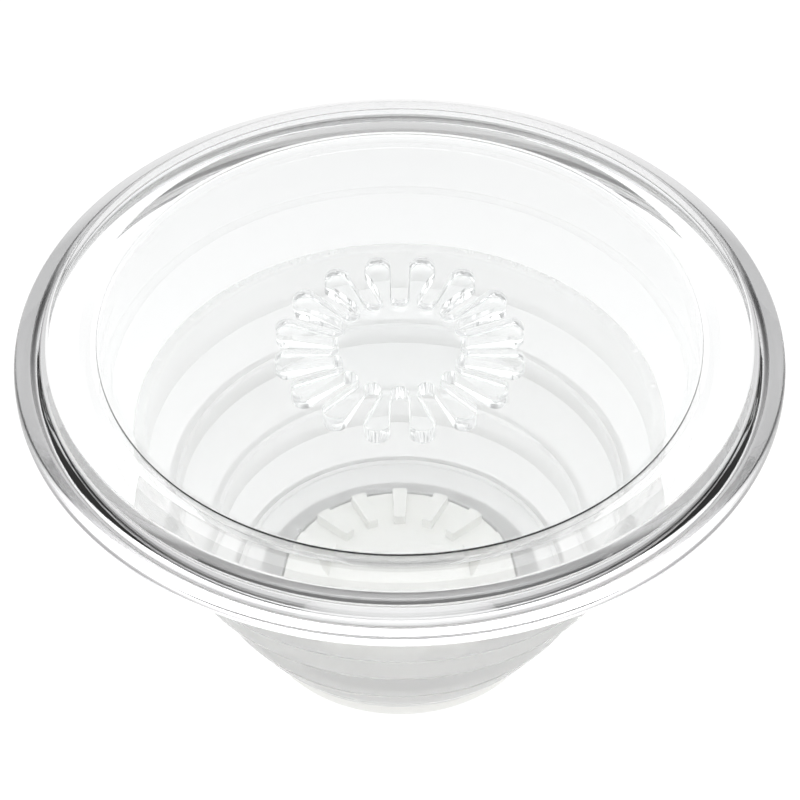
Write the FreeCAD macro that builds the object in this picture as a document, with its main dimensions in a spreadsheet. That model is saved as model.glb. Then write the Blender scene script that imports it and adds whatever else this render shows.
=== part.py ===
"""Clear collapsible finger grip for a phone, without the adhesive base that it locks into.

A clear button with an inlay sits on a soft folding accordion, and the accordion stands on a hard
foot. The rigid walls of the accordion nest inside each other when the thin conical webs between
them flip, and the ribs of the foot then enter the slots of the drive key under the button.

The origin is the middle of the foot's underside, +Z runs up through the button, and the model
stands fully extended. Lengths are in millimetres.
"""

import FreeCAD, Part
import math
import os

import Sketcher

SIZES = {
    # button
    "button_radius": 20.0,
    "button_edge_height": 1.1,
    "edge_top_drop": 1.3,
    "edge_slope_width": 1.75,
    "crest_width": 1.65,
    "crest_chamfer": 0.35,
    "recess_depth": 0.2,
    "recess_slope": 0.6,
    "plate_thickness": 0.9,
    "rim_overhang": 1.5,
    "rim_foot_slope": 0.2,
    "edge_round": 0.5,
    "window_offset_x": 9.6,
    "window_offset_y": 3.6,
    "window_width": 1.2,
    "window_length": 3.2,
    "window_depth": 0.3,
    # inlay in the face of the button
    "inlay_gap": 0.3,
    "inlay_thickness": 0.15,
    "inlay_round": 0.05,
    # drive key under the button
    "key_radius": 6.58,
    "key_height": 1.0,
    "key_count": 16.0,
    "slot_width": 0.9,
    "slot_start_radius": 3.65,
    "key_tip_round": 0.6,
    "slot_wall_radius": 6.3,
    "slot_wall_thickness": 0.15,
    "slot_wall_height": 0.4,
    # accordion: walls are measured to their outside
    "wall_thickness": 0.7,
    "web_thickness": 0.4,
    "hinge_gap": 0.06,
    "neck_radius": 15.7,
    "neck_height": 3.3,
    "neck_fold_rise": 2.6,
    "upper_wall_radius": 14.0,
    "upper_wall_height": 2.8,
    "upper_fold_rise": 1.8,
    "middle_wall_radius": 12.35,
    "middle_wall_height": 1.3,
    "lower_fold_rise": 1.8,
    "lower_wall_radius": 10.3,
    "lower_wall_height": 1.8,
    "foot_fold_rise": 1.9,
    "foot_wall_radius": 9.1,
    "foot_wall_height": 0.9,
    "foot_wall_taper": 0.65,
    "foot_flange_thickness": 0.8,
    # foot
    "foot_radius": 7.7,
    "foot_height": 1.6,
    "foot_round": 0.3,
    "socket_radius": 5.6,
    "socket_mouth_radius": 4.6,
    "socket_lip_height": 0.6,
    "notch_reach": 5.3,
    "notch_width": 3.3,
    "key_plate_radius": 6.2,
    "key_plate_thickness": 0.8,
    "flange_gap": 0.1,
    "rib_clearance": 0.17,
    "rib_height": 0.6,
}

SHEET = "Sizes"


class Length:
    """A length that carries both its value and the spreadsheet expression that drives it."""

    def __init__(self, value, text):
        self.value = value
        self.text = text

    def __add__(self, other):
        return Length(self.value + other.value, f"({self.text} + {other.text})")

    def __sub__(self, other):
        return Length(self.value - other.value, f"({self.text} - {other.text})")

    def half(self):
        return Length(self.value / 2, f"({self.text} / 2)")

    def negative(self):
        return Length(-self.value, f"(-{self.text})")


ZERO = Length(0.0, "0 mm")


def make_sheet(doc):
    """Write every driving size into the spreadsheet and return them by name."""
    sheet = doc.addObject("Spreadsheet::Sheet", SHEET)
    for row, (name, value) in enumerate(SIZES.items(), start=1):
        sheet.set(f"A{row}", name)
        sheet.set(f"B{row}", str(value))
        sheet.setAlias(f"B{row}", name)
    doc.recompute()
    return {name: Length(value, f"{SHEET}.{name} * 1 mm") for name, value in SIZES.items()}


def make_body(doc, name):
    body = doc.addObject("PartDesign::Body", name)
    body.Label = name
    body.Placement = FreeCAD.Placement()
    return body


def origin_plane(body, role):
    for feature in body.Origin.OriginFeatures:
        if feature.Role == role:
            return feature
    raise ValueError(f"{body.Label} has no {role}")


def make_sketch(body, role, height=None):
    """A sketch on one of the body's own planes, raised along its normal by a height."""
    sketch = body.newObject("Sketcher::SketchObject", body.Label + "_sketch")
    sketch.AttachmentSupport = [(origin_plane(body, role), "")]
    sketch.MapMode = "FlatFace"
    if height is not None:
        sketch.AttachmentOffset = FreeCAD.Placement(FreeCAD.Vector(0, 0, height.value), FreeCAD.Rotation())
        sketch.setExpression("AttachmentOffset.Base.z", height.text)
    return sketch


def bind(sketch, constraint, length):
    index = sketch.addConstraint(constraint)
    sketch.setExpression(f"Constraints[{index}]", length.text)


def place_point(sketch, edge, end, across, up):
    """Tie one end of an edge to the sketch origin by its two distances."""
    for kind, length in (("DistanceX", across), ("DistanceY", up)):
        if length is ZERO:
            axis_of = {"DistanceX": -2, "DistanceY": -1}
            sketch.addConstraint(Sketcher.Constraint("PointOnObject", edge, end, axis_of[kind]))
        else:
            bind(sketch, Sketcher.Constraint(kind, -1, 1, edge, end, length.value), length)


def draw_outline(sketch, points):
    """A closed outline of straight edges through points given as pairs of lengths."""
    corners = [FreeCAD.Vector(across.value, up.value, 0) for across, up in points]
    first = sketch.GeometryCount
    for start, end in zip(corners, corners[1:] + corners[:1]):
        sketch.addGeometry(Part.LineSegment(start, end), False)
    for index, (across, up) in enumerate(points):
        follower = first + (index + 1) % len(points)
        sketch.addConstraint(Sketcher.Constraint("Coincident", first + index, 2, follower, 1))
        place_point(sketch, first + index, 1, across, up)


def draw_circle(sketch, radius):
    circle = Part.Circle(FreeCAD.Vector(), FreeCAD.Vector(0, 0, 1), radius.value)
    index = sketch.addGeometry(circle, False)
    sketch.addConstraint(Sketcher.Constraint("Coincident", index, 3, -1, 1))
    bind(sketch, Sketcher.Constraint("Radius", index, radius.value), radius)


def revolve(body, points):
    """Turn an outline of (radius, height) points about the Z axis."""
    sketch = make_sketch(body, "XZ_Plane")
    draw_outline(sketch, points)
    feature = body.newObject("PartDesign::Revolution", body.Label + "_revolution")
    feature.Profile = sketch
    feature.ReferenceAxis = (sketch, ["V_Axis"])
    feature.Angle = 360.0
    return feature


def extrude(body, kind, sketch, depth, reverse=False):
    feature = body.newObject(f"PartDesign::{kind}", f"{body.Label}_{kind.lower()}")
    feature.Profile = sketch
    feature.Length = depth.value
    feature.setExpression("Length", depth.text)
    feature.Reversed = reverse
    return feature


def repeat_round(body, feature, count):
    """Repeat a feature round the Z axis."""
    pattern = body.newObject("PartDesign::PolarPattern", body.Label + "_pattern")
    pattern.Originals = [feature]
    pattern.Axis = (feature.Profile[0], ["N_Axis"])
    pattern.Angle = 360.0
    pattern.Occurrences = int(count.value)
    pattern.setExpression("Occurrences", f"{SHEET}.key_count")
    body.Tip = pattern
    return pattern


def circular_edges(shape, radius, height):
    """Names of the full circles about the Z axis that have this radius and height."""
    names = []
    for index, edge in enumerate(shape.Edges, start=1):
        is_circle = isinstance(edge.Curve, Part.Circle)
        if is_circle and math.isclose(edge.Curve.Radius, radius.value, abs_tol=1e-4):
            if math.isclose(edge.Curve.Center.z, height.value, abs_tol=1e-4):
                names.append(f"Edge{index}")
    return names


def upright_edges(shape, radius, bottom, top):
    """Names of the upright edges at this radius from the Z axis."""
    names = []
    for index, edge in enumerate(shape.Edges, start=1):
        ends = [vertex.Point for vertex in edge.Vertexes]
        if len(ends) != 2 or ends[0].distanceToPoint(ends[1]) < 1e-6:
            continue
        heights = sorted(point.z for point in ends)
        on_radius = all(abs(math.hypot(p.x, p.y) - radius.value) < 1e-3 for p in ends)
        spans = abs(heights[0] - bottom.value) < 1e-3 and abs(heights[1] - top.value) < 1e-3
        if on_radius and spans:
            names.append(f"Edge{index}")
    return names


def round_edges(body, base, names, radius):
    """Fillet the named edges of a feature."""
    if not names:
        raise ValueError(f"{body.Label} has no edge to round")
    fillet = body.newObject("PartDesign::Fillet", body.Label + "_fillet")
    fillet.Base = (base, names)
    fillet.Radius = radius.value
    fillet.setExpression("Radius", radius.text)
    body.Tip = fillet
    return fillet


class Levels:
    """Heights of every level of the grip, added up from the foot."""

    def __init__(self, size):
        self.foot_top = size["foot_height"]
        self.foot_wall_top = self.foot_top + size["foot_wall_height"]
        self.lower_wall_bottom = self.foot_wall_top + size["foot_fold_rise"]
        self.lower_wall_top = self.lower_wall_bottom + size["lower_wall_height"]
        self.middle_wall_bottom = self.lower_wall_top + size["lower_fold_rise"]
        self.middle_wall_top = self.middle_wall_bottom + size["middle_wall_height"]
        self.upper_wall_bottom = self.middle_wall_top + size["upper_fold_rise"]
        self.upper_wall_top = self.upper_wall_bottom + size["upper_wall_height"]
        self.neck_bottom = self.upper_wall_top + size["neck_fold_rise"]
        self.plate_bottom = self.neck_bottom + size["neck_height"]
        self.recess_floor = self.plate_bottom + size["plate_thickness"]
        self.crest = self.recess_floor + size["recess_depth"]


def recess_radius(size):
    """Radius of the flat floor inside the raised rim."""
    return size["button_radius"] - size["edge_slope_width"] - size["crest_width"] - size["recess_slope"]


def make_button(doc, size, level):
    """Clear disc with a rounded raised rim, a recess for the inlay and the drive key beneath."""
    body = make_body(doc, "button")
    edge_top = level.crest - size["edge_top_drop"]
    edge_bottom = edge_top - size["button_edge_height"]
    rim_foot = size["button_radius"] - size["rim_overhang"]
    crest_outer = size["button_radius"] - size["edge_slope_width"]
    crest_inner = crest_outer - size["crest_width"]
    revolve(body, [
        (ZERO, level.plate_bottom),
        (rim_foot - size["rim_foot_slope"], level.plate_bottom),
        (rim_foot, edge_bottom),
        (size["button_radius"], edge_bottom),
        (size["button_radius"], edge_top),
        (crest_outer + size["crest_chamfer"], level.crest - size["crest_chamfer"]),
        (crest_outer, level.crest),
        (crest_inner, level.crest),
        (recess_radius(size), level.recess_floor),
        (ZERO, level.recess_floor),
    ])
    doc.recompute()
    add_drive_key(doc, body, size, level)
    add_windows(body, size, level)
    doc.recompute()
    last = body.Tip
    edges = circular_edges(last.Shape, size["button_radius"], edge_bottom)
    edges += circular_edges(last.Shape, size["button_radius"], edge_top)
    round_edges(body, last, edges, size["edge_round"])
    return body


def add_drive_key(doc, body, size, level):
    """Sixteen-lobed boss: a disc with slots cut from its edge and a low wall across their ends."""
    disc = make_sketch(body, "XY_Plane", level.plate_bottom)
    draw_circle(disc, size["key_radius"])
    extrude(body, "Pad", disc, size["key_height"], reverse=True)

    slot = make_sketch(body, "XY_Plane", level.plate_bottom - size["key_height"])
    draw_slot(slot, size["slot_start_radius"], size["key_radius"], size["slot_width"].half())
    pocket = extrude(body, "Pocket", slot, size["key_height"], reverse=True)
    pattern = repeat_round(body, pocket, size["key_count"])
    doc.recompute()

    tips = upright_edges(pattern.Shape, size["key_radius"], level.plate_bottom - size["key_height"],
                         level.plate_bottom)
    round_edges(body, pattern, tips, size["key_tip_round"])

    wall = make_sketch(body, "XY_Plane", level.plate_bottom)
    draw_circle(wall, size["slot_wall_radius"])
    draw_circle(wall, size["slot_wall_radius"] - size["slot_wall_thickness"])
    extrude(body, "Pad", wall, size["slot_wall_height"], reverse=True)


def draw_slot(sketch, start, end, half_width):
    """A slot along X whose inner end is round and whose outer end runs past the boss."""
    low, high = half_width.negative(), half_width
    reach = end + half_width
    corners = [(start, low), (reach, low), (reach, high), (start, high)]
    for (x1, y1), (x2, y2) in zip(corners, corners[1:]):
        line = Part.LineSegment(FreeCAD.Vector(x1.value, y1.value, 0), FreeCAD.Vector(x2.value, y2.value, 0))
        sketch.addGeometry(line, False)
    circle = Part.Circle(FreeCAD.Vector(start.value, 0, 0), FreeCAD.Vector(0, 0, 1), half_width.value)
    sketch.addGeometry(Part.ArcOfCircle(circle, math.pi / 2, 3 * math.pi / 2), False)
    sketch.addConstraint(Sketcher.Constraint("Coincident", 0, 2, 1, 1))
    sketch.addConstraint(Sketcher.Constraint("Coincident", 1, 2, 2, 1))
    sketch.addConstraint(Sketcher.Constraint("Coincident", 2, 2, 3, 1))
    sketch.addConstraint(Sketcher.Constraint("Coincident", 3, 2, 0, 1))
    place_point(sketch, 0, 1, start, low)
    place_point(sketch, 1, 1, reach, low)
    place_point(sketch, 2, 1, reach, high)
    place_point(sketch, 3, 1, start, high)
    bind(sketch, Sketcher.Constraint("DistanceX", -1, 1, 3, 3, start.value), start)


def add_windows(body, size, level):
    """Two shallow locating windows in the underside of the plate, beside the drive key."""
    half_width = size["window_width"].half()
    half_length = size["window_length"].half()
    for side in (size["window_offset_x"], size["window_offset_x"].negative()):
        sketch = make_sketch(body, "XY_Plane", level.plate_bottom)
        low = size["window_offset_y"] - half_length
        high = size["window_offset_y"] + half_length
        left, right = side - half_width, side + half_width
        draw_outline(sketch, [(left, low), (right, low), (right, high), (left, high)])
        extrude(body, "Pocket", sketch, size["window_depth"], reverse=True)


def make_inlay(doc, size, level):
    """Thin clear disc bonded into the recess of the button's face."""
    body = make_body(doc, "face_inlay")
    radius = recess_radius(size) - size["inlay_gap"]
    sketch = make_sketch(body, "XY_Plane", level.recess_floor)
    draw_circle(sketch, radius)
    pad = extrude(body, "Pad", sketch, size["inlay_thickness"])
    doc.recompute()
    top = level.recess_floor + size["inlay_thickness"]
    round_edges(body, pad, circular_edges(pad.Shape, radius, top), size["inlay_round"])
    return body


def make_web(doc, name, size, bottom, top):
    """Thin conical web between two walls; bottom and top are (outer radius, height) pairs.

    Its upper end stops a hinge gap short of the wall above, which moves separately.
    """
    body = make_body(doc, name)
    (low_radius, low), (high_radius, high) = bottom, top
    high = high - size["hinge_gap"]
    revolve(body, [
        (low_radius - size["web_thickness"], low),
        (low_radius, low),
        (high_radius, high),
        (high_radius - size["web_thickness"], high),
    ])
    return body


def make_wall(doc, name, size, radius, bottom, top):
    """Rigid upright ring of the accordion."""
    body = make_body(doc, name)
    inside = radius - size["wall_thickness"]
    revolve(body, [(inside, bottom), (radius, bottom), (radius, top), (inside, top)])
    return body


def make_foot_wall(doc, size, level):
    """Bottom ring of the accordion, tapered outside, with the flange that lies on the foot."""
    body = make_body(doc, "accordion_foot_wall")
    radius = size["foot_wall_radius"]
    flange_top = level.foot_top + size["foot_flange_thickness"]
    inside = radius - size["wall_thickness"]
    revolve(body, [
        (size["key_plate_radius"] + size["flange_gap"], level.foot_top),
        (radius - size["foot_wall_taper"], level.foot_top),
        (radius, level.foot_wall_top),
        (inside, level.foot_wall_top),
        (inside, flange_top),
        (size["key_plate_radius"] + size["flange_gap"], flange_top),
    ])
    return body


def make_foot_base(doc, size, level):
    """Hard foot ring with a bayonet socket in its underside: a lip with two entry notches."""
    body = make_body(doc, "foot_base")
    ring = revolve(body, [
        (size["socket_mouth_radius"], ZERO),
        (size["foot_radius"], ZERO),
        (size["foot_radius"], level.foot_top),
        (size["socket_radius"], level.foot_top),
        (size["socket_radius"], size["socket_lip_height"]),
        (size["socket_mouth_radius"], size["socket_lip_height"]),
    ])
    doc.recompute()
    rounded = round_edges(body, ring, circular_edges(ring.Shape, size["foot_radius"], ZERO),
                          size["foot_round"])
    sketch = make_sketch(body, "XY_Plane")
    reach, half_width = size["notch_reach"], size["notch_width"].half()
    draw_outline(sketch, [
        (reach.negative(), half_width.negative()),
        (reach, half_width.negative()),
        (reach, half_width),
        (reach.negative(), half_width),
    ])
    doc.recompute()
    before = rounded.Shape.Volume
    pocket = extrude(body, "Pocket", sketch, size["socket_lip_height"], reverse=True)
    doc.recompute()
    if pocket.Shape.Volume >= before:
        raise ValueError("the entry notches cut nothing")
    return body


def make_key_plate(doc, size, level):
    """Hard plate on the foot with the radial ribs that enter the slots of the drive key."""
    body = make_body(doc, "foot_key_plate")
    disc = make_sketch(body, "XY_Plane", level.foot_top)
    draw_circle(disc, size["key_plate_radius"])
    extrude(body, "Pad", disc, size["key_plate_thickness"])

    half_width = size["slot_width"].half() - size["rib_clearance"]
    start = size["slot_start_radius"] + size["rib_clearance"]
    end = size["slot_wall_radius"] - size["slot_wall_thickness"] - size["rib_clearance"]
    rib = make_sketch(body, "XY_Plane", level.foot_top + size["key_plate_thickness"])
    draw_outline(rib, [
        (start, half_width.negative()),
        (end, half_width.negative()),
        (end, half_width),
        (start, half_width),
    ])
    pad = extrude(body, "Pad", rib, size["rib_height"])
    repeat_round(body, pad, size["key_count"])
    return body


def make_grip(doc):
    """Build every piece of the grip and return the bodies."""
    size = make_sheet(doc)
    level = Levels(size)
    return [
        make_button(doc, size, level),
        make_inlay(doc, size, level),
        make_wall(doc, "accordion_neck", size, size["neck_radius"],
                  level.neck_bottom, level.plate_bottom),
        make_web(doc, "accordion_neck_web", size,
                 (size["upper_wall_radius"], level.upper_wall_top),
                 (size["neck_radius"], level.neck_bottom)),
        make_wall(doc, "accordion_upper_wall", size, size["upper_wall_radius"],
                  level.upper_wall_bottom, level.upper_wall_top),
        make_web(doc, "accordion_upper_web", size,
                 (size["middle_wall_radius"], level.middle_wall_top),
                 (size["upper_wall_radius"], level.upper_wall_bottom)),
        make_wall(doc, "accordion_middle_wall", size, size["middle_wall_radius"],
                  level.middle_wall_bottom, level.middle_wall_top),
        make_web(doc, "accordion_lower_web", size,
                 (size["lower_wall_radius"], level.lower_wall_top),
                 (size["middle_wall_radius"], level.middle_wall_bottom)),
        make_wall(doc, "accordion_lower_wall", size, size["lower_wall_radius"],
                  level.lower_wall_bottom, level.lower_wall_top),
        make_web(doc, "accordion_foot_web", size,
                 (size["foot_wall_radius"], level.foot_wall_top),
                 (size["lower_wall_radius"], level.lower_wall_bottom)),
        make_foot_wall(doc, size, level),
        make_key_plate(doc, size, level),
        make_foot_base(doc, size, level),
    ]


def check_document(doc, bodies):
    """Stop before anything is written if an object failed or a piece isn't one sound solid."""
    doc.recompute()
    for item in doc.Objects:
        if "Invalid" in item.State or "Error" in item.State:
            raise ValueError(f"{item.Label} failed: {item.State}")
    for body in bodies:
        if body.Shape.isNull() or not body.Shape.isValid() or len(body.Shape.Solids) != 1:
            raise ValueError(f"{body.Label} isn't one sound solid")


def main():
    doc = FreeCAD.newDocument("phone_grip")
    bodies = make_grip(doc)
    check_document(doc, bodies)
    os.makedirs("parts", exist_ok=True)
    for body in bodies:
        body.Shape.exportStep(f"parts/{body.Label}.step")
        box = body.Shape.BoundBox
        print(f"{body.Label}: volume {body.Shape.Volume:.2f}, z {box.ZMin:.2f} to {box.ZMax:.2f}")


main()
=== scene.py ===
"""Looks of a clear collapsible phone grip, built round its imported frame.

Everything is in metres, in the frame's own axes: +Z up through the button, the foot on z = 0.
"""

import math
from types import SimpleNamespace

import bmesh
import bpy
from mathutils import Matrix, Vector


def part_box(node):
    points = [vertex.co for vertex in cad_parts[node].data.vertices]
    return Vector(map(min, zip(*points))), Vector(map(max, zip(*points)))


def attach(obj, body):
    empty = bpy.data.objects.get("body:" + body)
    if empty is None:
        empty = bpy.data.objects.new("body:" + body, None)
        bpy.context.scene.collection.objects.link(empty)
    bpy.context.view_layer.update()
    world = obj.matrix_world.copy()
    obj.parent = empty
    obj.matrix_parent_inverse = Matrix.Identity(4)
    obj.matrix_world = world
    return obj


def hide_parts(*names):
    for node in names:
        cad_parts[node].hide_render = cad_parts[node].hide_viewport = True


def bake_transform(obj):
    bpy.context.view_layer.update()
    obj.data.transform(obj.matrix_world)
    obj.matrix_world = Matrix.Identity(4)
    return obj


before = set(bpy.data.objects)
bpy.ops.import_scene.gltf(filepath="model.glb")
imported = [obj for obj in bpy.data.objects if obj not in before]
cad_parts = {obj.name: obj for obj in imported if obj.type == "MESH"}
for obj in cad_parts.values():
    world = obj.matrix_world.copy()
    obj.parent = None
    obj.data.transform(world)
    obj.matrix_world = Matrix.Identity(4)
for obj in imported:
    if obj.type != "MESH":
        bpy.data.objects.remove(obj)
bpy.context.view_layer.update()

MM = 0.001
TURN_STEPS = 512
ARC_STEP = math.radians(9)
SHARP_ANGLE = math.radians(32)

# Camera: elevation of the view, distance to the middle of the button's face, width seen at that
# distance, and how far the camera stands below and to the right of that middle.
VIEW_ELEVATION = math.radians(44.5)
VIEW_DISTANCE = 270 * MM
VIEW_WIDTH = 41.34367 * MM
FACE_LIFT = 3.385 * MM
FACE_SHIFT = 0.013 * MM
SENSOR_WIDTH = 36

# Light of the studio: the sines of the elevations between which the horizon brightens, how much of
# the overhead light is missing at the horizon in front and at the sides, and behind the grip, and
# the radii between which the floor's glow falls from its first to its second strength.
SKY_START, SKY_END = 0.60, 0.95
SKY_STRENGTH = 4.6
HORIZON_SIDES = 0.88
HORIZON_BEHIND = 0.995
BEHIND_START, BEHIND_END = 0.55, 0.85
FLOOR_BRIGHT = (75 * MM, 130 * MM)
FLOOR_LIGHT = (1.05, 0.3)

# Rim of the button: heights of its edge below the crest, and radii from the outside inwards
EDGE_TOP_DROP = 1.3 * MM
EDGE_BOTTOM_DROP = 2.4 * MM
SHOULDER_DROP = 0.32 * MM
SHOULDER_RADIUS = 18.7 * MM
RIM_FOOT_RADIUS = 18.5 * MM
# Radius beyond which the rim's faces get the grey clear plastic, which is painted shade standing in
# for the darker studio seen through the edge.
RIM_SHADE_START = 18.4 * MM
RIM_INSIDE_RADIUS = 18.3 * MM
CREST_OUTSIDE = 18.25 * MM
CREST_INSIDE = 16.6 * MM
RECESS_RADIUS = 16.0 * MM

# Drive key, and the gap that keeps it and the inlay clear of the plate
KEY_COUNT = 16
KEY_RADIUS = 6.58 * MM
KEY_DEPTH = 1.0 * MM
KEY_GAP = 0.004 * MM
SLOT_WIDTH = 0.9 * MM
SLOT_START = 3.65 * MM
INLAY_GAP = 0.01 * MM

# Accordion
WALL_THICKNESS = 0.7 * MM
WEB_THICKNESS = 0.45 * MM
WEB_STEPS = 12
FLANGE_INSIDE = 6.3 * MM
FLANGE_HEIGHT = 0.8 * MM
FOOT_WALL_BOTTOM_RADIUS = 8.45 * MM

# Foot and key plate
MOUTH_RADIUS = 4.6 * MM
SOCKET_RADIUS = 5.6 * MM
LIP_HEIGHT = 0.6 * MM
DISC_HEIGHT = 0.8 * MM
RIB_HEIGHT = 0.6 * MM
RIB_START, RIB_END = 3.8 * MM, 5.95 * MM
RIB_HALF_WIDTHS = (0.28 * MM, 0.4 * MM)


def extent(node):
    """Radius and the lowest and highest level of a round CAD node."""
    low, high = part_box(node)
    return SimpleNamespace(radius=high.x, bottom=low.z, top=high.z)


BUTTON = extent("button")
INLAY = extent("face_inlay")
NECK = extent("accordion_neck")
UPPER = extent("accordion_upper_wall")
MIDDLE = extent("accordion_middle_wall")
LOWER = extent("accordion_lower_wall")
FOOT_WALL = extent("accordion_foot_wall")
KEY_PLATE = extent("foot_key_plate")
FOOT = extent("foot_base")
PLATE_BOTTOM = NECK.top
RECESS_FLOOR = INLAY.bottom


# ---------------------------------------------------------------- geometry

def rounded(corners):
    """Points of an outline given as (radius, height, fillet), with each fillet as an arc."""
    points = []
    count = len(corners)
    for index, (r, z, fillet) in enumerate(corners):
        here = Vector((r, z))
        if fillet <= 0:
            points.append(here)
            continue
        before = Vector(corners[index - 1][:2]) - here
        after = Vector(corners[(index + 1) % count][:2]) - here
        opening = before.angle(after)
        reach = fillet / math.tan(opening / 2)
        start = here + before.normalized() * reach
        end = here + after.normalized() * reach
        middle = (before.normalized() + after.normalized()).normalized()
        centre = here + middle * (fillet / math.sin(opening / 2))
        sweep = math.pi - opening
        steps = max(3, math.ceil(sweep / ARC_STEP))
        a, b = start - centre, end - centre
        for step in range(steps + 1):
            share = step / steps
            spread = a * math.sin((1 - share) * sweep) + b * math.sin(share * sweep)
            points.append(centre + spread / math.sin(sweep))
    return points


def turned(name, outline):
    """A solid of revolution about Z from a closed outline of (radius, height) points."""
    steps = TURN_STEPS
    mesh = bmesh.new()
    rings = []
    for r, z in outline:
        if r < 1e-7:
            rings.append([mesh.verts.new((0, 0, z))])
            continue
        ring = []
        for step in range(steps):
            angle = 2 * math.pi * step / steps
            ring.append(mesh.verts.new((r * math.cos(angle), r * math.sin(angle), z)))
        rings.append(ring)
    for low, high in zip(rings, rings[1:] + rings[:1]):
        if len(low) == 1 and len(high) == 1:
            continue
        for step in range(steps):
            follow = (step + 1) % steps
            corners = [low[step % len(low)], low[follow % len(low)],
                       high[follow % len(high)], high[step % len(high)]]
            mesh.faces.new(list(dict.fromkeys(corners)))
    return finished(name, mesh)


def finished(name, mesh):
    """Turn a bmesh into an object with smooth shading that breaks at sharp edges."""
    bmesh.ops.recalc_face_normals(mesh, faces=mesh.faces)
    data = bpy.data.meshes.new(name)
    mesh.to_mesh(data)
    mesh.free()
    piece = bpy.data.objects.new(name, data)
    bpy.context.scene.collection.objects.link(piece)
    data.shade_smooth()
    data.set_sharp_from_angle(angle=SHARP_ANGLE)
    weighted = piece.modifiers.new("weighted_normals", "WEIGHTED_NORMAL")
    weighted.keep_sharp = True
    return piece


def key_outline(inset):
    """The drive key's outline seen from above, moved inwards by an inset.

    Each lobe is a wedge between two slots with a full round at its tip, and each slot ends in a
    half circle next to the hub.
    """
    half_pitch = math.pi / KEY_COUNT
    slope = math.sin(half_pitch)
    apex = SLOT_WIDTH / 2 / slope
    tip_centre = (KEY_RADIUS + apex * slope) / (1 + slope)
    tip_round = (tip_centre - apex) * slope - inset
    slot_round = SLOT_WIDTH / 2 + inset
    tip_half = math.pi / 2 - half_pitch
    points = []
    for lobe in range(KEY_COUNT):
        slot_angle = 2 * half_pitch * lobe
        for step in range(9):
            turn = slot_angle + 1.5 * math.pi - math.pi * step / 8
            points.append((SLOT_START * math.cos(slot_angle) + slot_round * math.cos(turn),
                           SLOT_START * math.sin(slot_angle) + slot_round * math.sin(turn)))
        lobe_angle = slot_angle + half_pitch
        for step in range(17):
            turn = lobe_angle - tip_half + 2 * tip_half * step / 16
            points.append((tip_centre * math.cos(lobe_angle) + tip_round * math.cos(turn),
                           tip_centre * math.sin(lobe_angle) + tip_round * math.sin(turn)))
    return points


def stacked(name, layers):
    """A capped solid through outlines with equal counts, each given as (points, height)."""
    mesh = bmesh.new()
    rings = [[mesh.verts.new((x, y, z)) for x, y in points] for points, z in layers]
    for low, high in zip(rings, rings[1:]):
        for index in range(len(low)):
            follow = (index + 1) % len(low)
            mesh.faces.new([low[index], low[follow], high[follow], high[index]])
    mesh.faces.new(rings[0])
    mesh.faces.new(rings[-1])
    return finished(name, mesh)


# --------------------------------------------------------------- materials

def new_material(name):
    material = bpy.data.materials.new(name)
    material.use_nodes = True
    shader = material.node_tree.nodes["Principled BSDF"]
    return material, shader


def add_bump(material, shader, scale, strength, distance):
    """Fine surface relief from noise in object coordinates."""
    nodes, links = material.node_tree.nodes, material.node_tree.links
    place = nodes.new("ShaderNodeTexCoord")
    noise = nodes.new("ShaderNodeTexNoise")
    noise.inputs["Scale"].default_value = scale
    noise.inputs["Detail"].default_value = 4.0
    bump = nodes.new("ShaderNodeBump")
    bump.inputs["Strength"].default_value = strength
    bump.inputs["Distance"].default_value = distance
    links.new(place.outputs["Object"], noise.inputs["Vector"])
    links.new(noise.outputs["Fac"], bump.inputs["Height"])
    links.new(bump.outputs["Normal"], shader.inputs["Normal"])
    return noise


def vary_roughness(material, shader, noise, low, high):
    """Roughness that wanders between two values with the noise."""
    nodes, links = material.node_tree.nodes, material.node_tree.links
    spread = nodes.new("ShaderNodeMapRange")
    spread.inputs["To Min"].default_value = low
    spread.inputs["To Max"].default_value = high
    links.new(noise.outputs["Fac"], spread.inputs["Value"])
    links.new(spread.outputs["Result"], shader.inputs["Roughness"])


def clear_plastic(name, tint_and_painted_shade):
    """Polished clear plastic with the faint waviness of moulding; its colour is the plastic's own
    tint for the body and inlay, and painted shade for the grey rim edge.
    """
    material, shader = new_material(name)
    shader.inputs["Base Color"].default_value = (*tint_and_painted_shade, 1)
    shader.inputs["Transmission Weight"].default_value = 1.0
    shader.inputs["IOR"].default_value = 1.58
    noise = add_bump(material, shader, scale=900, strength=0.02, distance=0.00002)
    vary_roughness(material, shader, noise, 0.0, 0.01)
    return material


def milky_rubber(name, cloudiness):
    """Soft satin elastomer, slightly uneven; its cloudiness is the share that isn't see-through."""
    material, shader = new_material(name)
    shader.inputs["Base Color"].default_value = (0.97, 0.97, 0.965, 1)
    shader.inputs["Transmission Weight"].default_value = 0.4
    shader.inputs["IOR"].default_value = 1.15
    shader.inputs["Alpha"].default_value = cloudiness
    noise = add_bump(material, shader, scale=1400, strength=0.08, distance=0.00002)
    vary_roughness(material, shader, noise, 0.25, 0.35)
    return material


def ivory_plastic(name, colour):
    """Hard opaque moulded plastic with a satin face."""
    material, shader = new_material(name)
    shader.inputs["Base Color"].default_value = (*colour, 1)
    noise = add_bump(material, shader, scale=2500, strength=0.12, distance=0.00001)
    vary_roughness(material, shader, noise, 0.35, 0.5)
    return material


# ------------------------------------------------------------------ pieces

def place(piece, material, body, slot, *nodes):
    """Give a piece its material and body, and hide the CAD nodes that it stands for. The slot is
    not used.
    """
    piece.data.materials.append(material)
    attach(piece, body)
    if nodes:
        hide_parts(*nodes)


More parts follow.
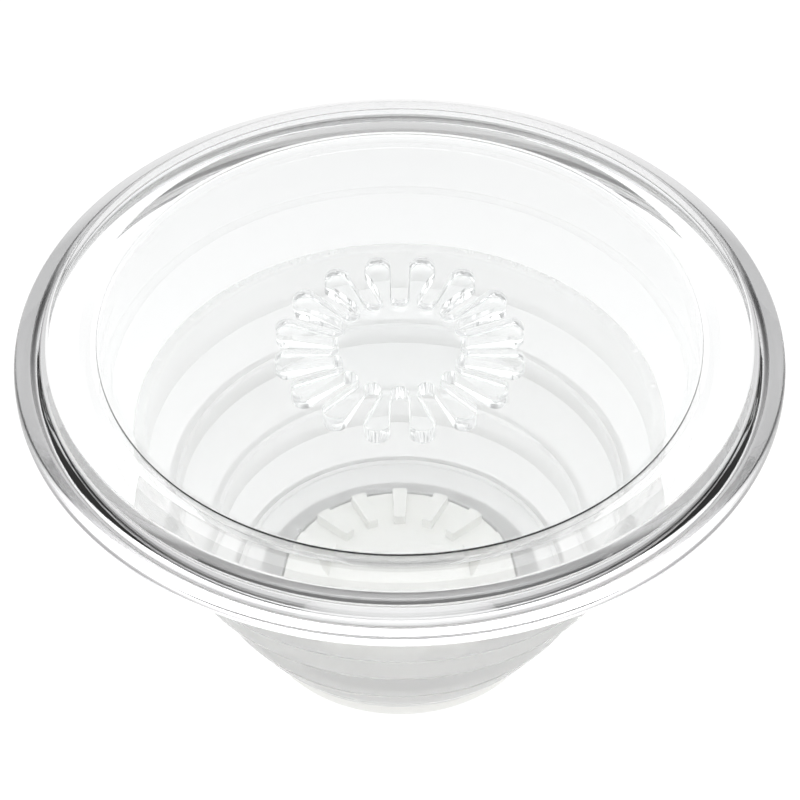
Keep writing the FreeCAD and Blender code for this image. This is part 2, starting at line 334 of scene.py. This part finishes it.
def make_button(material, rim_painted_shade_material):
    """The disc with its raised rim, its faces from the rim outwards in grey clear plastic as
    painted shade, and the drive key under it.
    """
    crest = BUTTON.top
    edge_top = crest - EDGE_TOP_DROP
    edge_bottom = crest - EDGE_BOTTOM_DROP
    disc = turned("button_clear", rounded([
        (0, PLATE_BOTTOM, 0),
        (RIM_INSIDE_RADIUS, PLATE_BOTTOM, 0.15 * MM),
        (RIM_FOOT_RADIUS, edge_bottom, 0.15 * MM),
        (BUTTON.radius, edge_bottom, 0.5 * MM),
        (BUTTON.radius, edge_top, 0.5 * MM),
        (SHOULDER_RADIUS, crest - SHOULDER_DROP, 0.5 * MM),
        (CREST_OUTSIDE, crest, 0.25 * MM),
        (CREST_INSIDE, crest, 0.08 * MM),
        (RECESS_RADIUS, RECESS_FLOOR, 0.08 * MM),
        (0, RECESS_FLOOR, 0),
    ]))
    bottom = PLATE_BOTTOM - KEY_DEPTH
    layers = [(0, PLATE_BOTTOM - KEY_GAP), (0, bottom + 0.12 * MM),
              (0.04, bottom + 0.04 * MM), (0.12, bottom)]
    key = stacked("drive_key", [(key_outline(inset * MM), z) for inset, z in layers])
    place(key, material, "button", "clear_button")
    place(disc, material, "button", "clear_button", "button")
    # Faces beyond this radius take the grey clear plastic: painted shade on the rim's edge.
    disc.data.materials.append(rim_painted_shade_material)
    for face in disc.data.polygons:
        if face.center.xy.length > RIM_SHADE_START:
            face.material_index = 1


def make_inlay(material):
    """The thin inlay lies a hair clear of the plate."""
    underside = INLAY.bottom + INLAY_GAP
    inlay = turned("face_inlay_clear", rounded([
        (0, underside, 0),
        (INLAY.radius, underside, 0.02 * MM),
        (INLAY.radius, INLAY.top, 0.05 * MM),
        (0, INLAY.top, 0),
    ]))
    place(inlay, material, "button", "clear_inlay", "face_inlay")


def make_ring(name, extents, material, body, node):
    """A straight rigid wall of the accordion."""
    inside = extents.radius - WALL_THICKNESS
    fillet = 0.15 * MM
    ring = turned(name, rounded([
        (inside, extents.bottom, fillet),
        (extents.radius, extents.bottom, fillet),
        (extents.radius, extents.top, fillet),
        (inside, extents.top, fillet),
    ]))
    place(ring, material, body, "soft_accordion", node)


def make_web(name, low, high, material, node):
    """A thin cone from (radius, height) low to high, baked in place and attached to no body."""
    outer = [(low[0] + (high[0] - low[0]) * i / WEB_STEPS,
              low[1] + (high[1] - low[1]) * i / WEB_STEPS) for i in range(WEB_STEPS + 1)]
    inner = [(r - WEB_THICKNESS, z) for r, z in reversed(outer)]
    piece = turned(name, outer + inner)
    piece.data.materials.append(material)
    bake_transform(piece)
    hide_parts(node)


def make_accordion(clearest_painted_light_look, thin_painted_light_look, look, dense_painted_light_look):
    """Rings and webs, cloudier from the neck down to the foot: the milkiness is the elastomer's
    own, the grading is painted light, with the upper walls nearly clear so they wash out white and
    the lower ones cloudier so more of their own shading shows.
    """
    make_ring("accordion_neck_ring", NECK, clearest_painted_light_look, "button", "accordion_neck")
    make_ring("accordion_upper_ring", UPPER, thin_painted_light_look, "upper_ring", "accordion_upper_wall")
    make_ring("accordion_middle_ring", MIDDLE, look, "middle_ring", "accordion_middle_wall")
    make_ring("accordion_lower_ring", LOWER, look, "lower_ring", "accordion_lower_wall")
    inside = FOOT_WALL.radius - WALL_THICKNESS
    flange_top = FOOT_WALL.bottom + FLANGE_HEIGHT
    foot_ring = turned("accordion_foot_ring", rounded([
        (FLANGE_INSIDE, FOOT_WALL.bottom, 0),
        (FOOT_WALL_BOTTOM_RADIUS, FOOT_WALL.bottom, 0.1 * MM),
        (FOOT_WALL.radius, FOOT_WALL.top, 0.1 * MM),
        (inside, FOOT_WALL.top, 0.1 * MM),
        (inside, flange_top, 0),
        (FLANGE_INSIDE, flange_top, 0.1 * MM),
    ]))
    place(foot_ring, dense_painted_light_look, "foot", "soft_accordion", "accordion_foot_wall")
    webs = [
        ("neck", UPPER, NECK, clearest_painted_light_look, ("upper_ring", "button")),
        ("upper", MIDDLE, UPPER, thin_painted_light_look, ("middle_ring", "upper_ring")),
        ("lower", LOWER, MIDDLE, look, ("lower_ring", "middle_ring")),
        ("foot", FOOT_WALL, LOWER, look, ("foot", "lower_ring")),
    ]
    for name, below, above, material, bodies in webs:
        make_web(f"accordion_{name}_fold", (below.radius, below.top), (above.radius, above.bottom),
                 material, f"accordion_{name}_web")


def make_foot(material, plate_material):
    """The ring with its socket, and the ribbed key plate on top of it."""
    foot_ring = turned("foot_ring", rounded([
        (MOUTH_RADIUS, 0, 0.1 * MM),
        (FOOT.radius, 0, 0.3 * MM),
        (FOOT.radius, FOOT.top, 0.1 * MM),
        (SOCKET_RADIUS, FOOT.top, 0),
        (SOCKET_RADIUS, LIP_HEIGHT, 0),
        (MOUTH_RADIUS, LIP_HEIGHT, 0.1 * MM),
    ]))
    place(foot_ring, material, "foot", "foot_plastic", "foot_base")
    disc_top = KEY_PLATE.bottom + DISC_HEIGHT
    plate = turned("foot_key_disc", rounded([
        (0, KEY_PLATE.bottom, 0),
        (KEY_PLATE.radius, KEY_PLATE.bottom, 0),
        (KEY_PLATE.radius, disc_top, 0.1 * MM),
        (0, disc_top, 0),
    ]))
    place(plate, plate_material, "foot", "foot_plastic", "foot_key_plate")
    mesh = bmesh.new()
    for rib in range(KEY_COUNT):
        angle = 2 * math.pi * rib / KEY_COUNT
        along = Vector((math.cos(angle), math.sin(angle), 0))
        across = Vector((-math.sin(angle), math.cos(angle), 0))
        start, end = along * RIB_START, along * RIB_END
        near, far = (across * half_width for half_width in RIB_HALF_WIDTHS)
        low = [mesh.verts.new(p + Vector((0, 0, disc_top))) for p in
               (start - near, end - far, end + far, start + near)]
        high = [mesh.verts.new(v.co + Vector((0, 0, RIB_HEIGHT))) for v in low]
        for i in range(4):
            j = (i + 1) % 4
            mesh.faces.new([low[i], low[j], high[j], high[i]])
        mesh.faces.new(low)
        mesh.faces.new(high)
    ribs = finished("foot_key_ribs", mesh)
    place(ribs, plate_material, "foot", "foot_plastic")


# ------------------------------------------------------------------- stage

def make_camera():
    camera = bpy.data.cameras.new("camera")
    item = bpy.data.objects.new("camera", camera)
    bpy.context.scene.collection.objects.link(item)
    bpy.context.scene.camera = item
    back = Vector((0, -math.cos(VIEW_ELEVATION), math.sin(VIEW_ELEVATION)))
    up = Vector((0, math.sin(VIEW_ELEVATION), math.cos(VIEW_ELEVATION)))
    face = Vector((0, 0, BUTTON.top))
    item.location = face + back * VIEW_DISTANCE - up * FACE_LIFT + Vector((FACE_SHIFT, 0, 0))
    item.rotation_mode = "QUATERNION"
    item.rotation_quaternion = (-back).to_track_quat("-Z", "Y")
    camera.sensor_width = SENSOR_WIDTH
    camera.lens = SENSOR_WIDTH * VIEW_DISTANCE / VIEW_WIDTH
    camera.clip_start = 0.005
    camera.clip_end = 20


def make_floor():
    """A pale floor that glows evenly round the grip and fades further out."""
    mesh = bmesh.new()
    bmesh.ops.create_grid(mesh, x_segments=1, y_segments=1, size=2.0)
    floor = finished("floor", mesh)
    floor.location.z = -0.02 * MM
    material, shader = new_material("floor_paper")
    shader.inputs["Base Color"].default_value = (0.02, 0.02, 0.02, 1)
    shader.inputs["Roughness"].default_value = 0.9
    shader.inputs["Specular IOR Level"].default_value = 0.0
    shader.inputs["Emission Color"].default_value = (1, 1, 1, 1)
    nodes, links = material.node_tree.nodes, material.node_tree.links
    position = nodes.new("ShaderNodeTexCoord")
    radius = nodes.new("ShaderNodeVectorMath")
    radius.operation = "LENGTH"
    links.new(position.outputs["Object"], radius.inputs[0])
    glow = eased(nodes, links, radius.outputs["Value"], FLOOR_BRIGHT, FLOOR_LIGHT)
    links.new(glow, shader.inputs["Emission Strength"])
    floor.data.materials.append(material)


def make_world():
    """A white studio with a grey horizon, nearly black behind the grip, and deep ray limits."""
    world = bpy.data.worlds.new("studio")
    bpy.context.scene.world = world
    world.use_nodes = True
    nodes, links = world.node_tree.nodes, world.node_tree.links
    direction = nodes.new("ShaderNodeTexCoord")
    split = nodes.new("ShaderNodeSeparateXYZ")
    links.new(direction.outputs["Generated"], split.inputs["Vector"])
    sky = eased(nodes, links, split.outputs["Z"], (SKY_START, SKY_END), (1.0, 0.0))
    behind = eased(nodes, links, split.outputs["Y"], (BEHIND_START, BEHIND_END),
                   (HORIZON_SIDES, HORIZON_BEHIND))
    loss = nodes.new("ShaderNodeMath")
    loss.operation = "MULTIPLY"
    links.new(sky, loss.inputs[0])
    links.new(behind, loss.inputs[1])
    light = nodes.new("ShaderNodeMath")
    light.operation = "SUBTRACT"
    light.inputs[0].default_value = 1.0
    links.new(loss.outputs[0], light.inputs[1])
    links.new(light.outputs[0], nodes["Background"].inputs["Color"])
    nodes["Background"].inputs["Strength"].default_value = SKY_STRENGTH
    scene = bpy.context.scene
    scene.view_settings.view_transform = "Standard"
    scene.cycles.max_bounces = 64
    scene.cycles.transmission_bounces = 64
    scene.cycles.glossy_bounces = 16


def eased(nodes, links, source, start_end, values):
    """A smooth change from one value to another while the source runs from start to end."""
    step = nodes.new("ShaderNodeMapRange")
    step.interpolation_type = "SMOOTHSTEP"
    step.inputs["From Min"].default_value, step.inputs["From Max"].default_value = start_end
    step.inputs["To Min"].default_value, step.inputs["To Max"].default_value = values
    links.new(source, step.inputs["Value"])
    return step.outputs["Result"]


make_camera()
make_world()
make_floor()
clear = clear_plastic("clear_polycarbonate", (0.99, 0.995, 0.995))
# The grey of the rim's edge is painted shade, standing in for the darker studio seen through the
# edge; it is no tint of the plastic.
clear_rim_painted_shade = clear_plastic("clear_polycarbonate_rim_painted_shade", (0.55, 0.55, 0.555))
clear_sheet = clear_plastic("clear_inlay_sheet", (0.99, 0.995, 0.995))
# The elastomer is milky; grading its cloudiness from the neck down to the foot is painted light:
# the upper walls nearly clear so they wash out white, the lower walls and foot cloudier so more of
# their own shading shows.
soft = milky_rubber("milky_elastomer", 0.5)
soft_dense_painted_light = milky_rubber("milky_elastomer_dense_painted_light", 0.9)
soft_thin_painted_light = milky_rubber("milky_elastomer_thin_painted_light", 0.3)
soft_clearest_painted_light = milky_rubber("milky_elastomer_clearest_painted_light", 0.1)
ivory = ivory_plastic("ivory_plastic", (0.96, 0.96, 0.93))
grey_ivory = ivory_plastic("ivory_key_plastic", (0.95, 0.95, 0.92))
make_button(clear, clear_rim_painted_shade)
make_inlay(clear_sheet)
make_accordion(soft_clearest_painted_light, soft_thin_painted_light, soft, soft_dense_painted_light)
make_foot(ivory, grey_ivory)
